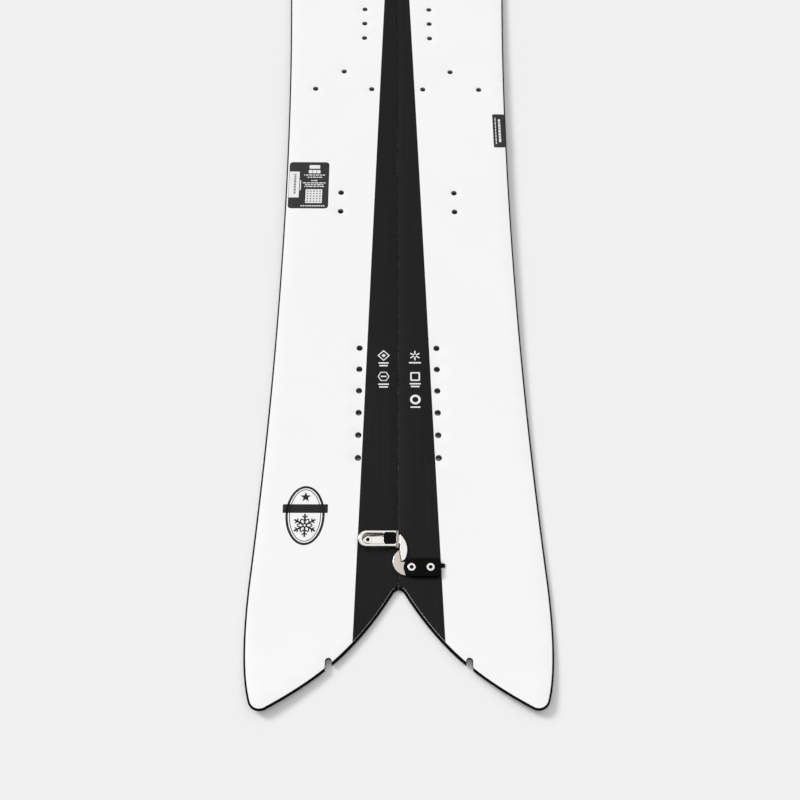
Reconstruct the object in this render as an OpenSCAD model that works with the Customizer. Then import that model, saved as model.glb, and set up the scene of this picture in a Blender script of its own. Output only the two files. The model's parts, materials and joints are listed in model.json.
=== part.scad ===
// Swallowtail splitboard: a snowboard that parts along its centre line into two skis.
// X points right, Y to the nose and Z up. The origin is under the middle of the length, on the
// ground plane and on the seam. All sizes are in millimetres.

/* [Board outline] */
// Length from the tail tips to the nose
board_len = 1520; // [1500:5:1540]
// Full width at the waist
waist_w = 260.8; // [256:0.2:266]
// Place of the waist along the board
waist_y = -190; // [-200:1:-180]
// Sidecut radius
sidecut_r = 6900; // [6700:50:7200]
// Depth of the swallowtail, from the tail tips to its apex
vee_depth = 114; // [110:1:118]
// Radius of the rounded apex of the swallowtail
vee_apex_r = 6; // [5:0.5:7]
// Radius of each tail tip
tip_r = 11.5; // [11:0.1:12]
// Distance of each tail tip's centre from the seam
tip_x = 127.4; // [127:0.1:128]
// Gap between the two skis along the seam
seam_gap = 0.6; // [0.6:0.1:0.8]
// Distance of each skin-clip notch from the seam
notch_x = 65.8; // [65:0.1:67]
// Width of each skin-clip notch
notch_w = 6.4; // [6:0.1:7]

/* [Board profile] */
// Camber height at its middle
camber_h = 4; // [3:0.5:5]
// Rise of the nose above the snow
nose_rise = 58; // [50:1:62]
// Rise of the tail tips above the snow
tail_rise = 6; // [4:0.5:8]
// Core thickness between the feet
core_mid_t = 4.6; // [4.4:0.1:5]
// Core thickness under the clips
core_land_t = 2.4; // [2.4:0.1:2.6]
// Core thickness at the tips
core_tip_t = 1.3; // [1.2:0.1:1.5]

/* [Layers] */
// Thickness of the running base
base_t = 1.4; // [1.3:0.1:1.5]
// Width of the steel edge
edge_w = 2.2; // [2:0.1:2.4]
// Height of the steel edge
edge_h = 1.9; // [1.8:0.1:2]
// Width of the sidewall strips beside the core, round the outline
sidewall_w = 8; // [7:0.5:8.5]
// Width of the sidewall strip and the edge anchor along the seam
seam_strip_w = 5; // [4:0.1:5]
// Thickness of the lower laminate over the edge anchors
laminate_t = 0.5; // [0.4:0.1:0.6]
// Thickness of the upper laminate and of the topsheet, each
skin_t = 0.6; // [0.5:0.1:0.7]
// Distance of the topsheet's rim from the board's outline
skin_inset = 2; // [1.8:0.1:2.2]
// Thickness of the stickers
label_t = 0.15; // [0.1:0.05:0.2]

/* [Inserts] */
// Pitch of the binding inserts in their row
puck_pitch = 25.4; // [25.4:0.1:25.4]
// Distance of each row of binding inserts from the seam
puck_x = 41.3; // [41:0.1:41.6]
// Place of the front binding inserts' middle along the board
front_puck_y = 130.9; // [128:0.1:134]
// Place of the rear binding inserts' middle along the board
rear_puck_y = -445.6; // [-448:0.1:-443]
// Bore radius of the M6 inserts (minor diameter of the thread)
insert_bore_r = 2.5; // [2.45:0.01:2.55]
// Radius of the insert barrels
insert_barrel_r = 4; // [3.9:0.1:4.1]
// Radius of the insert flanges
insert_flange_r = 6; // [5.8:0.1:6.2]

/* [Clips] */
// Place of the tail clip's latch along the board
tail_clip_y = -597; // [-600:1:-594]
// Place of the nose clip's latch along the board
nose_clip_y = 430; // [428:1:434]
// Distance along the board from a clip's latch to its strike
strike_dy = -28.4; // [-28.6:0.1:-28.2]
// Slant of the hooks' meeting faces from the seam
release_angle = 8; // [8:0.5:9]

/* [Hidden] */
$fn = 48;

left = -1;
right = 1;
half_len = board_len / 2;
vee_apex_y = -half_len + vee_depth;

// The board lies level on two lands, one under each clip, between camber and tips.
rear_land = [-650, -560];
front_land = [380, 470];
core_full = [-250, 100];

// Levels above the base surface. Those past the core are counted without its thickness.
core_floor = edge_h + laminate_t;
skin_floor = core_floor + skin_t;
deck_floor = skin_floor + skin_t;
deck_z = deck_floor + core_land_t;

// Fits
glue_gap = 0.05;
insert_gap = 0.1;
insert_top_gap = 0.2;
running_gap = 0.05;

// ---- Curves ----

function heading(a) = [cos(a), sin(a)];
function bezier(p0, p1, p2, p3, t) =
    pow(1 - t, 3) * p0 + 3 * pow(1 - t, 2) * t * p1 + 3 * (1 - t) * t * t * p2 + pow(t, 3) * p3;
function bezier_run(p0, p1, p2, p3, n) = [for (i = [1:n]) bezier(p0, p1, p2, p3, i / n)];
function arc_run(c, r, a0, a1, n) = [for (i = [1:n]) c + r * heading(a0 + (a1 - a0) * i / n)];
function smooth(s) = s * s * (3 - 2 * s);

// Outline of the right ski away from the seam: from the swallowtail's apex, round the tail tip, up
// the sidecut and over the nose.
function side_point(y) = [waist_w / 2 + pow(y - waist_y, 2) / (2 * sidecut_r), y];
function side_slope(y) = atan((y - waist_y) / sidecut_r);
vee_turn = 32;
vee_start = [0, vee_apex_y - vee_apex_r] + vee_apex_r * heading(vee_turn);
tip_centre = [tip_x, tip_r - half_len];
tip_in_a = 241;
tip_out_a = 342;
tip_in = tip_centre + tip_r * heading(tip_in_a);
tip_out = tip_centre + tip_r * heading(tip_out_a);
shoulder_y = -635;
nose_start_y = 460;
shoulder = side_point(shoulder_y);
nose_start = side_point(nose_start_y);
vee_pull = 62.7;
tip_in_pull = 59.4;
tip_out_pull = 30;
shoulder_pull = 41.6;
nose_pull = 150;
nose_round_x = 95;
outline = concat(
    [[0, vee_apex_y]],
    arc_run([0, vee_apex_y - vee_apex_r], vee_apex_r, 90, vee_turn, 5),
    bezier_run(vee_start, vee_start + vee_pull * heading(vee_turn - 90),
        tip_in - tip_in_pull * heading(tip_in_a + 90), tip_in, 12),
    arc_run(tip_centre, tip_r, tip_in_a, tip_out_a, 8),
    bezier_run(tip_out, tip_out + tip_out_pull * heading(tip_out_a + 90),
        shoulder - shoulder_pull * heading(90 - side_slope(shoulder_y)), shoulder, 7),
    [for (i = [1:24]) side_point(shoulder_y + (nose_start_y - shoulder_y) * i / 24)],
    bezier_run(nose_start, nose_start + nose_pull * heading(90 - side_slope(nose_start_y)),
        [nose_round_x, half_len], [0, half_len], 22)
);

// The outline moved inwards by d, and closed beyond the seam.
last = len(outline) - 1;
function along(i) = i == 0 ? [1, 0] : i == last ? [-1, 0] : outline[i + 1] - outline[i - 1];
function inwards(i) = [-along(i).y, along(i).x] / norm(along(i));
function inset_points(d) = [for (i = [0:last]) outline[i] + d * inwards(i)];
past_seam = -20;
function closed_inset(d) = concat(
    [[past_seam, vee_apex_y + d]], inset_points(d), [[past_seam, half_len - d]]
);

// ---- Profile along the board ----

function base_z(y) =
    y < rear_land[0] ? tail_rise * pow((rear_land[0] - y) / (half_len + rear_land[0]), 2)
    : y < rear_land[1] ? 0
    : y < front_land[0]
        ? camber_h / 2 * (1 - cos(360 * (y - rear_land[1]) / (front_land[0] - rear_land[1])))
    : y < front_land[1] ? 0
    : nose_rise * pow((y - front_land[1]) / (half_len - front_land[1]), 2.1);

function core_t(y) =
    y < rear_land[0] ? core_land_t
        - (core_land_t - core_tip_t) * (rear_land[0] - y) / (half_len + rear_land[0])
    : y < rear_land[1] ? core_land_t
    : y < core_full[0] ? core_land_t
        + (core_mid_t - core_land_t) * smooth((y - rear_land[1]) / (core_full[0] - rear_land[1]))
    : y < core_full[1] ? core_mid_t
    : y < front_land[0] ? core_mid_t
        - (core_mid_t - core_land_t) * smooth((y - core_full[1]) / (front_land[0] - core_full[1]))
    : y < front_land[1] ? core_land_t
    : core_land_t
        - (core_land_t - core_tip_t) * (y - front_land[1]) / (half_len - front_land[1]);

margin = 8;
function spread(a, b, n) = [for (i = [0:n]) a + (b - a) * i / n];
stations = concat(
    spread(-half_len - margin, rear_land[0], 5),
    spread(rear_land[1], front_land[0], 24),
    spread(front_land[1], half_len + margin, 14)
);
function level(y, floor, over_core) = base_z(y) + floor + (over_core ? core_t(y) : 0);

// A solid across the whole board between two levels.
board_reach = 200;
module band(low, low_over_core, high, high_over_core) {
    n = len(stations);
    translate([-board_reach, 0, 0])
        rotate([90, 0, 90])
            linear_extrude(2 * board_reach)
                polygon(concat(
                    [for (y = stations) [y, level(y, low, low_over_core)]],
                    [for (i = [1:n]) [stations[n - i], level(stations[n - i], high, high_over_core)]]
                ));
}

// ---- Plan shapes of the right ski ----

// Everything at least `off_outline` inside the outline and `off_seam` from the seam face.
module plan(off_outline, off_seam) {
    difference() {
        intersection() {
            polygon(closed_inset(off_outline));
            translate([seam_gap / 2 + off_seam, -board_len])
                square([board_reach, 2 * board_len]);
        }
        notch();
    }
}

notch_top_y = -711.7;
module notch() {
    translate([notch_x, notch_top_y - notch_w / 2])
        circle(d = notch_w);
    translate([notch_inner_x, -board_len])
        square([notch_w, board_len + notch_top_y - notch_w / 2]);
}

module rim(width, off_seam) {
    difference() {
        plan(0, off_seam);
        polygon(closed_inset(width));
    }
}

// A straight strip beside the seam, ending `off_outline` inside the outline.
module seam_strip(off_outline, off_seam, width) {
    intersection() {
        polygon(closed_inset(off_outline));
        translate([seam_gap / 2 + off_seam, -board_len])
            square([width, 2 * board_len]);
    }
}

// The tail from the seam out to `reach`. The notch parts the swallowtail's rim from the outer rim.
notch_inner_x = notch_x - notch_w / 2;
notch_outer_x = notch_x + notch_w / 2;
module vee_zone(reach) {
    translate([0, -board_len])
        square([reach, board_len + vee_apex_y + 2 * sidewall_w]);
}

module on_side(side) {
    mirror([side == left ? 1 : 0, 0, 0])
        children();
}

tall = 90;
module layer(side, low, low_over_core, high, high_over_core) {
    intersection() {
        on_side(side)
            linear_extrude(tall)
                children();
        band(low, low_over_core, high, high_over_core);
    }
}

// ---- Places of the inserts, measured outwards from the seam ----

row_of_six = [for (i = [0:5]) (i - 2.5) * puck_pitch];
function puck_places(y) = [for (dy = row_of_six) [puck_x, y + dy]];
bracket_x = 65.9;
bracket_half_pitch = 34.5;
bracket_y = -18.7;
bracket_front_y = 10.1;
bracket_places = [
    [bracket_x - bracket_half_pitch, bracket_y],
    [bracket_x + bracket_half_pitch, bracket_y],
    [bracket_x, bracket_front_y]
];
riser_x = 65.6;
riser_y = -190.4;
riser_half_pitch = 13.3;
riser_places = [[riser_x, riser_y - riser_half_pitch], [riser_x, riser_y + riser_half_pitch]];
latch_screw_xs = [30.2, 11.6];
strike_screw_xs = [12.4, 30.8];
function clip_places(side) = [
    for (clip_y = [tail_clip_y, nose_clip_y], i = [0:1])
        side == left ? [latch_screw_xs[i], clip_y] : [strike_screw_xs[i], clip_y + strike_dy]
];
binding_places = concat(
    puck_places(front_puck_y), puck_places(rear_puck_y), bracket_places, riser_places
);

module drill(side, places, r) {
    on_side(side)
        for (p = places)
            translate([p.x, p.y, -1])
                cylinder(r = r, h = tall);
}

// A blind threaded barrel with a flange, standing on the base sheet.
flange_t = 0.8;
blind_floor = 0.5;
insert_foot = base_t + insert_gap;
module insert(p, top, bore_r) {
    foot = base_z(p.y) + insert_foot;
    translate([p.x, p.y, foot])
        difference() {
            union() {
                cylinder(r = insert_flange_r, h = flange_t);
                cylinder(r = insert_barrel_r, h = top - insert_foot);
            }
            translate([0, 0, blind_floor])
                cylinder(r = bore_r, h = tall);
        }
}

// One group of like inserts, all as tall as the thinnest place among them allows.
module insert_group(side, places, bore_r) {
    top = core_floor - insert_top_gap + min([for (p = places) core_t(p.y)]);
    color("gray")
        on_side(side)
            for (p = places)
                insert(p, top, bore_r);
}

// ---- Layers of one ski, from the snow up ----

module base_sheet(side) {
    color([0.06, 0.06, 0.07])
        layer(side, 0, false, base_t, false)
            plan(edge_w, edge_w);
}

module outer_edge(side) {
    color("silver") {
        layer(side, 0, false, edge_h, false)
            difference() {
                rim(edge_w, 0);
                vee_zone(notch_outer_x);
            }
        layer(side, base_t, false, edge_h, false)
            difference() {
                rim(sidewall_w, edge_w);
                vee_zone(notch_outer_x);
            }
    }
}

module inner_edge(side) {
    color("silver") {
        layer(side, 0, false, edge_h, false)
            seam_strip(edge_w, 0, edge_w);
        layer(side, base_t, false, edge_h, false)
            seam_strip(sidewall_w, edge_w, seam_strip_w - edge_w);
    }
}

module lower_laminate(side) {
    color([0.75, 0.74, 0.62])
        difference() {
            union() {
                layer(side, base_t, false, core_floor, false)
                    plan(sidewall_w, seam_strip_w);
                layer(side, edge_h, false, core_floor, false)
                    difference() {
                        plan(0, 0);
                        intersection() {
                            rim(edge_w, 0);
                            vee_zone(notch_x);
                        }
                    }
            }
            drill(side, concat(binding_places, clip_places(side)), insert_flange_r + insert_gap);
        }
}

module core(side) {
    color([0.83, 0.7, 0.5])
        difference() {
            layer(side, core_floor, false, core_floor, true)
                behind_nose()
                    plan(sidewall_w, seam_strip_w);
            drill(side, concat(binding_places, clip_places(side)), insert_barrel_r + glue_gap);
        }
}

// The core and the sidewalls end at the front land, and one plastic spacer fills the nose.
module nose_spacer(side) {
    color([0.05, 0.05, 0.05])
        layer(side, core_floor, false, core_floor, true)
            intersection() {
                plan(0, 0);
                translate([0, front_land[1]])
                    square([board_reach, board_reach * 2]);
            }
}

module behind_nose() {
    intersection() {
        children();
        translate([0, front_land[1] - 2 * board_len])
            square([board_reach, 2 * board_len]);
    }
}

module outer_sidewall(side) {
    color([0.05, 0.05, 0.05])
        layer(side, core_floor, false, core_floor, true)
            behind_nose()
                difference() {
                    rim(sidewall_w, 0);
                    vee_zone(notch_outer_x);
                }
}

module inner_sidewall(side) {
    color([0.05, 0.05, 0.05])
        layer(side, core_floor, false, core_floor, true)
            behind_nose()
                seam_strip(sidewall_w, 0, seam_strip_w);
}

module vee_sidewall(side) {
    color([0.05, 0.05, 0.05]) {
        layer(side, 0, false, core_floor, true)
            intersection() {
                rim(edge_w, 0);
                vee_zone(notch_inner_x);
            }
        layer(side, core_floor, false, core_floor, true)
            intersection() {
                rim(sidewall_w, 0);
                vee_zone(notch_inner_x);
            }
        layer(side, base_t, false, edge_h, false)
            intersection() {
                rim(sidewall_w, edge_w);
                vee_zone(notch_inner_x);
            }
    }
}

// The upper laminate or the topsheet, with an opening over every insert.
screw_hole_r = 2.2;
insert_mouth_r = 3.3;
module skin(side, floor) {
    difference() {
        layer(side, floor, true, floor + skin_t, true)
            plan(skin_inset, 0);
        drill(side, binding_places, insert_mouth_r);
        drill(side, clip_places(side), screw_hole_r);
    }
}

module upper_laminate(side) {
    color([0.8, 0.79, 0.68])
        skin(side, core_floor);
}

module topsheet(side) {
    color("white")
        skin(side, skin_floor);
}

module front_puck_inserts(side) {
    insert_group(side, puck_places(front_puck_y), insert_bore_r);
}

module rear_puck_inserts(side) {
    insert_group(side, puck_places(rear_puck_y), insert_bore_r);
}

module bracket_inserts(side) {
    insert_group(side, bracket_places, insert_bore_r);
}

module riser_inserts(side) {
    insert_group(side, riser_places, insert_bore_r);
}

clip_bore_r = 2;
through = 10;
module clip_inserts(side) {
    insert_group(side, clip_places(side), clip_bore_r);
}

// ---- Stickers ----

module rounded_rect(low, high, r) {
    translate([low.x + r, low.y])
        square([high.x - low.x - 2 * r, high.y - low.y]);
    translate([low.x, low.y + r])
        square([high.x - low.x, high.y - low.y - 2 * r]);
    for (x = [low.x + r, high.x - r], y = [low.y + r, high.y - r])
        translate([x, y])
            circle(r = r);
}

module label(side, low, high, r) {
    color([0.1, 0.1, 0.1])
        layer(side, deck_floor, true, deck_floor + label_t, true)
            rounded_rect(low, high, r);
}

module spec_label() {
    label(left, [80.3, -199.9], [126.9, -133.2], 4);
}

module edge_label() {
    label(right, [115.2, -109.3], [129.5, -58.1], 1.5);
}

// ---- Clip: each module is drawn about its latch's centre on the seam, from the deck up ----

module at_clip(clip_y) {
    translate([0, clip_y, deck_z])
        children();
}

// A profile in X and Z, drawn between two places across the board's length.
module across(y0, y1) {
    translate([0, y1, 0])
        rotate([90, 0, 0])
            linear_extrude(y1 - y0)
                children();
}

module both_ears(inner, outer) {
    across(inner, outer)
        children();
    across(-outer, -inner)
        children();
}

hinge = [-1.7, 2.8];
pin_r = 0.75;
latch_plate_t = 1;
latch_half_w = 5.7;
cheek_t = 1.3;
cheek_r = 1.9;
latch_left_x = -31.5;
latch_right_x = -0.5;

module pin_bore(r) {
    translate([hinge.x, 0, hinge.y])
        rotate([90, 0, 0])
            cylinder(r = r, h = 30, center = true);
}

module latch_base(clip_y) {
    color("silver")
        at_clip(clip_y)
            difference() {
                union() {
                    linear_extrude(latch_plate_t) {
                        translate([latch_left_x, 0])
                            circle(r = latch_half_w);
                        translate([latch_left_x, -latch_half_w])
                            square([latch_right_x - latch_left_x, 2 * latch_half_w]);
                    }
                    both_ears(latch_half_w - cheek_t, latch_half_w) {
                        translate(hinge)
                            circle(r = cheek_r);
                        polygon([
                            [hinge.x - 5, latch_plate_t / 2], [latch_right_x, latch_plate_t / 2],
                            [hinge.x + cheek_r, hinge.y], [hinge.x - cheek_r, hinge.y]
                        ]);
                    }
                }
                pin_bore(pin_r);
                for (x = latch_screw_xs)
                    translate([-x, 0, -1])
                        cylinder(r = screw_hole_r, h = 4);
            }
}

// A low-head screw with a hexagonal socket. Its head sits on z = 0.
screw_head_r = 3.9;
screw_head_t = 1.6;
screw_r = 1.95;
socket_r = 2;
socket_depth = 1.1;
screw_end = -3.7;
module screw(seat) {
    translate([0, 0, seat])
        difference() {
            cylinder(r = screw_head_r, h = screw_head_t);
            translate([0, 0, screw_head_t - socket_depth])
                cylinder(r = socket_r, h = socket_depth + 1, $fn = 6);
        }
    translate([0, 0, screw_end])
        cylinder(r = screw_r, h = seat - screw_end);
}

module latch_screws(clip_y) {
    color("silver")
        at_clip(clip_y)
            for (x = latch_screw_xs)
                translate([-x, 0, 0])
                    screw(latch_plate_t);
}

lever_inner = 6;
lever_outer = 8.2;
pin_head_gap = 0.1;
pin_head_t = 0.4;
pin_head_r = 1.2;
module hinge_pin(clip_y) {
    color("gray")
        at_clip(clip_y)
            translate([hinge.x, 0, hinge.y])
                rotate([90, 0, 0]) {
                    cylinder(r = pin_r, h = 2 * (lever_outer + pin_head_gap), center = true);
                    for (s = [-1, 1])
                        translate([0, 0, s * (lever_outer + pin_head_gap + pin_head_t / 2)])
                            cylinder(r = pin_head_r, h = pin_head_t, center = true);
                }
}

// The lever is a ring with a window, on two flanges that turn about the hinge pin.
plate_low = 5.9;
plate_top = 7.2;
lever_left_x = -31.4;
lever_right_x = -2.2;
boss_r = 2.1;
module lever(clip_y) {
    color("silver")
        at_clip(clip_y)
            difference() {
                union() {
                    translate([0, 0, plate_low])
                        linear_extrude(plate_top - plate_low)
                            lever_ring();
                    both_ears(lever_inner, lever_outer) {
                        translate(hinge)
                            circle(r = boss_r);
                        polygon([
                            [hinge.x, hinge.y - boss_r], [-13, 3.4], [-24, 4.8], [-30.5, plate_low],
                            [-30.5, plate_low + 0.8], [lever_right_x, plate_low + 0.8],
                            [lever_right_x, plate_low], [hinge.x + boss_r, hinge.y]
                        ]);
                    }
                    finger_lip();
                }
                pin_bore(pin_r + running_gap);
            }
}

window_left_x = -30.1;
window_right_x = -15;
window_half_w = 5.4;
module lever_ring() {
    difference() {
        union() {
            translate([lever_left_x, 0])
                circle(r = lever_outer);
            translate([lever_left_x, -lever_outer])
                square([lever_right_x - lever_left_x, 2 * lever_outer]);
        }
        translate([window_left_x, 0])
            circle(r = window_half_w);
        translate([window_left_x, -window_half_w])
            square([window_right_x - window_left_x, 2 * window_half_w]);
    }
}

lip_low = 3.8;
lip_t = 1.2;
lip_right_x = -34.5;
module finger_lip() {
    translate([0, 0, lip_low])
        linear_extrude(plate_low + 0.5 - lip_low)
            intersection() {
                translate([lever_left_x, 0])
                    difference() {
                        circle(r = lever_outer);
                        circle(r = lever_outer - lip_t);
                    }
                translate([lip_right_x - 20, -10])
                    square([20, 20]);
            }
}

pad_t = 1;
pad_left_x = -14.9;
pad_right_x = -2.4;
pad_half_w = 6.1;
pad_corner_r = 2.6;
module lever_pad(clip_y) {
    color([0.05, 0.05, 0.05])
        at_clip(clip_y)
            translate([0, 0, plate_top])
                linear_extrude(pad_t)
                    rounded_rect([pad_left_x, -pad_half_w], [pad_right_x, pad_half_w], pad_corner_r);
}

// A drum off the hinge's centre, joined to the lever's plate by a slanted web. Turning the lever by
// 90 degrees carries the drum 1.5 mm outwards, and the draw hook with it.
drum_throw = 0.75;
drum_r = 2.3;
drum_half_w = 2.6;
drum = hinge + [-drum_throw, drum_throw];
web_half_t = 1.1 * sqrt(0.5);
module cam(clip_y) {
    rise_right = plate_low - drum.y - web_half_t;
    rise_left = plate_low - drum.y + web_half_t;
    color("gray")
        at_clip(clip_y)
            difference() {
                across(-drum_half_w, drum_half_w) {
                    translate(drum)
                        circle(r = drum_r);
                    polygon([
                        drum + [web_half_t, web_half_t],
                        drum + [web_half_t - rise_right, web_half_t + rise_right],
                        drum + [-web_half_t - rise_left, -web_half_t + rise_left],
                        drum + [-web_half_t, -web_half_t]
                    ]);
                }
                pin_bore(pin_r + running_gap);
            }
}

// The hooks lie in one plane over the decks. Their meeting faces slant from the seam, along the line
// on which the right ski is slid off.
hook_low = 1.3;
hook_top = 3;
meeting_x = 1;
meeting_y = -11.25;
meeting_gap = 0.25;
draw_end_y = -21.95;
function meeting_line(y) = meeting_x + (meeting_y - y) * tan(release_angle);
draw_arc_r = 21.5;
draw_arc_centre = [-12.9, -10.25];
shank_half_w = 4;
shank_left_x = -6.1;
shank_low = latch_plate_t + running_gap;
drum_slot = [-4.9, 0];
drum_slot_half_w = 2.9;
hook_travel = 2 * drum_throw;
module draw_hook(clip_y) {
    color([0.9, 0.9, 0.9])
        at_clip(clip_y) {
            difference() {
                translate([shank_left_x, -shank_half_w, shank_low])
                    cube([meeting_x + 0.5 - shank_left_x, 2 * shank_half_w, hook_top - shank_low]);
                translate([drum_slot[0], -drum_slot_half_w, 0])
                    cube([drum_slot[1] - drum_slot[0], 2 * drum_slot_half_w, 2 * hook_top]);
                pin_passage();
            }
            translate([0, 0, hook_low])
                linear_extrude(hook_top - hook_low)
                    intersection() {
                        translate(draw_arc_centre)
                            circle(r = draw_arc_r, $fn = 96);
                        polygon([
                            [meeting_x, 7], [12, 7], [12, -16.3], [3.6, draw_end_y],
                            [meeting_line(draw_end_y), draw_end_y], [meeting_x, meeting_y]
                        ]);
                    }
        }
}

// The shank passes below the hinge pin, so its top is cut away over the pin's place and the travel.
module pin_passage() {
    room = pin_r + 2 * running_gap;
    translate([hinge.x - room - hook_travel, -2 * shank_half_w, hinge.y - room])
        cube([2 * room + hook_travel, 4 * shank_half_w, 2 * room]);
}

strike_arc_r = 14;
strike_arc_centre = [7.9, -22.45];
strike_half_w = 5.8;
strike_right_x = 39;
strike_foot_x = 6.5;
throat_y = -22.5;
module strike_hook(clip_y) {
    arm_x = 6.8;
    color([0.55, 0.54, 0.53])
        at_clip(clip_y)
            difference() {
                union() {
                    translate([0, 0, hook_low])
                        linear_extrude(hook_top - hook_low)
                            intersection() {
                                translate(strike_arc_centre)
                                    circle(r = strike_arc_r, $fn = 96);
                                polygon([
                                    [-8, 0], [meeting_x - meeting_gap, 0],
                                    [meeting_x - meeting_gap, meeting_y],
                                    [meeting_line(throat_y) - meeting_gap, throat_y],
                                    [arm_x, throat_y], [arm_x, -40], [-8, -40]
                                ]);
                            }
                    translate([strike_foot_x, strike_dy - strike_half_w, 0])
                        cube([strike_right_x - strike_foot_x, 2 * strike_half_w, hook_top]);
                }
                strike_holes();
            }
}

module strike_holes() {
    for (x = strike_screw_xs)
        translate([x, strike_dy, -1])
            cylinder(r = screw_hole_r, h = through);
}

cover_top = 4.8;
cover_half_w = 9;
cover_left_x = 4.6;
cover_right_x = 41.1;
cover_corner_r = 4.5;
strike_seat = 3.6;
head_gap = 0.15;
tab_len = 3.9;
tab_w = 4;
tab_t = 1.6;
tab_y = 0.5;
module strike_cover(clip_y) {
    color([0.05, 0.05, 0.05])
        at_clip(clip_y)
            difference() {
                union() {
                    linear_extrude(cover_top) {
                        translate([cover_left_x + cover_half_w, strike_dy])
                            circle(r = cover_half_w);
                        rounded_rect(
                            [cover_left_x + cover_half_w - cover_corner_r, strike_dy - cover_half_w],
                            [cover_right_x, strike_dy + cover_half_w], cover_corner_r);
                    }
                    translate([cover_right_x - 1, strike_dy + tab_y, 0])
                        cube([tab_len + 1, tab_w, tab_t]);
                }
                translate([-1, strike_dy - strike_half_w - insert_gap, -1])
                    cube([
                        strike_right_x + insert_gap + 1, 2 * (strike_half_w + insert_gap),
                        hook_top + glue_gap + 1
                    ]);
                strike_holes();
                for (x = strike_screw_xs)
                    translate([x, strike_dy, strike_seat])
                        cylinder(r = screw_head_r + head_gap, h = through);
            }
}

module strike_screws(clip_y) {
    color("silver")
        at_clip(clip_y)
            for (x = strike_screw_xs)
                translate([x, strike_dy, 0])
                    screw(strike_seat);
}

// ---- Nodes ----

base_sheet(left);  // left_base_sheet
outer_edge(left);  // left_outer_edge
inner_edge(left);  // left_inner_edge
lower_laminate(left);  // left_lower_laminate
core(left);  // left_core
nose_spacer(left);  // left_nose_spacer
outer_sidewall(left);  // left_outer_sidewall
inner_sidewall(left);  // left_inner_sidewall
vee_sidewall(left);  // left_vee_sidewall
upper_laminate(left);  // left_upper_laminate
topsheet(left);  // left_topsheet
front_puck_inserts(left);  // left_front_puck_inserts
rear_puck_inserts(left);  // left_rear_puck_inserts
bracket_inserts(left);  // left_bracket_inserts
riser_inserts(left);  // left_riser_inserts
clip_inserts(left);  // left_clip_inserts
spec_label();
base_sheet(right);  // right_base_sheet
outer_edge(right);  // right_outer_edge
inner_edge(right);  // right_inner_edge
lower_laminate(right);  // right_lower_laminate
core(right);  // right_core
nose_spacer(right);  // right_nose_spacer
outer_sidewall(right);  // right_outer_sidewall
inner_sidewall(right);  // right_inner_sidewall
vee_sidewall(right);  // right_vee_sidewall
upper_laminate(right);  // right_upper_laminate
topsheet(right);  // right_topsheet
front_puck_inserts(right);  // right_front_puck_inserts
rear_puck_inserts(right);  // right_rear_puck_inserts
bracket_inserts(right);  // right_bracket_inserts
riser_inserts(right);  // right_riser_inserts
clip_inserts(right);  // right_clip_inserts
edge_label();
latch_base(tail_clip_y);  // tail_latch_base
latch_screws(tail_clip_y);  // tail_latch_screws
hinge_pin(tail_clip_y);  // tail_hinge_pin
lever(tail_clip_y);  // tail_lever
lever_pad(tail_clip_y);  // tail_lever_pad
cam(tail_clip_y);  // tail_cam
draw_hook(tail_clip_y);  // tail_draw_hook
strike_hook(tail_clip_y);  // tail_strike_hook
strike_cover(tail_clip_y);  // tail_strike_cover
strike_screws(tail_clip_y);  // tail_strike_screws
latch_base(nose_clip_y);  // nose_latch_base
latch_screws(nose_clip_y);  // nose_latch_screws
hinge_pin(nose_clip_y);  // nose_hinge_pin
lever(nose_clip_y);  // nose_lever
lever_pad(nose_clip_y);  // nose_lever_pad
cam(nose_clip_y);  // nose_cam
draw_hook(nose_clip_y);  // nose_draw_hook
strike_hook(nose_clip_y);  // nose_strike_hook
strike_cover(nose_clip_y);  // nose_strike_cover
strike_screws(nose_clip_y);  // nose_strike_screws
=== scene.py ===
"""Looks of the swallowtail splitboard. Lengths are in millimetres until a mesh is made."""
import json
import math
import random

import bpy
import numpy as np
from mathutils import Matrix, Vector
from mathutils.geometry import delaunay_2d_cdt


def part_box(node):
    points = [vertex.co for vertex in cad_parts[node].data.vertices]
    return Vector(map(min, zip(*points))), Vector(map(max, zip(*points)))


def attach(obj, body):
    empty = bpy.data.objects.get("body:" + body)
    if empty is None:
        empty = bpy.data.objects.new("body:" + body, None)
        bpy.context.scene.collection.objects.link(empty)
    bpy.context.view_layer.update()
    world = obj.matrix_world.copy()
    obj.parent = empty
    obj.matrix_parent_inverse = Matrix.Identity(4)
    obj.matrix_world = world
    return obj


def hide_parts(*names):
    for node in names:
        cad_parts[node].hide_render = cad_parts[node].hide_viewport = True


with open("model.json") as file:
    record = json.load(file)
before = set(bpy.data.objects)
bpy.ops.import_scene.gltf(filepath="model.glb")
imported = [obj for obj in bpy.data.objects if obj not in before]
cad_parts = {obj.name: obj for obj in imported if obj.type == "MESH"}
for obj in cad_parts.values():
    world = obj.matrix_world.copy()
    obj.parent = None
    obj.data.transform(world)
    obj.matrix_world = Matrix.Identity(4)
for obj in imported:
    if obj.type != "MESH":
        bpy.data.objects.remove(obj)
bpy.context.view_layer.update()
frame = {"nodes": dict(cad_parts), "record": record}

MM = 0.001
LEFT, RIGHT = -1, 1
SIDES = {LEFT: "left", RIGHT: "right"}
random.seed(7)


def node_box(node):
    """A CAD node's lowest and highest corner in millimetres."""
    low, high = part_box(node)
    return [v / MM for v in low], [v / MM for v in high]


MOUNTS = {mount["name"]: mount for mount in frame["record"]["mounts"]}
JOINTS = {joint["name"]: joint for joint in frame["record"]["behaviour"]["joints"]}


def mount_place(name):
    return np.array(MOUNTS[name]["pos_m"][:2]) / MM


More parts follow.
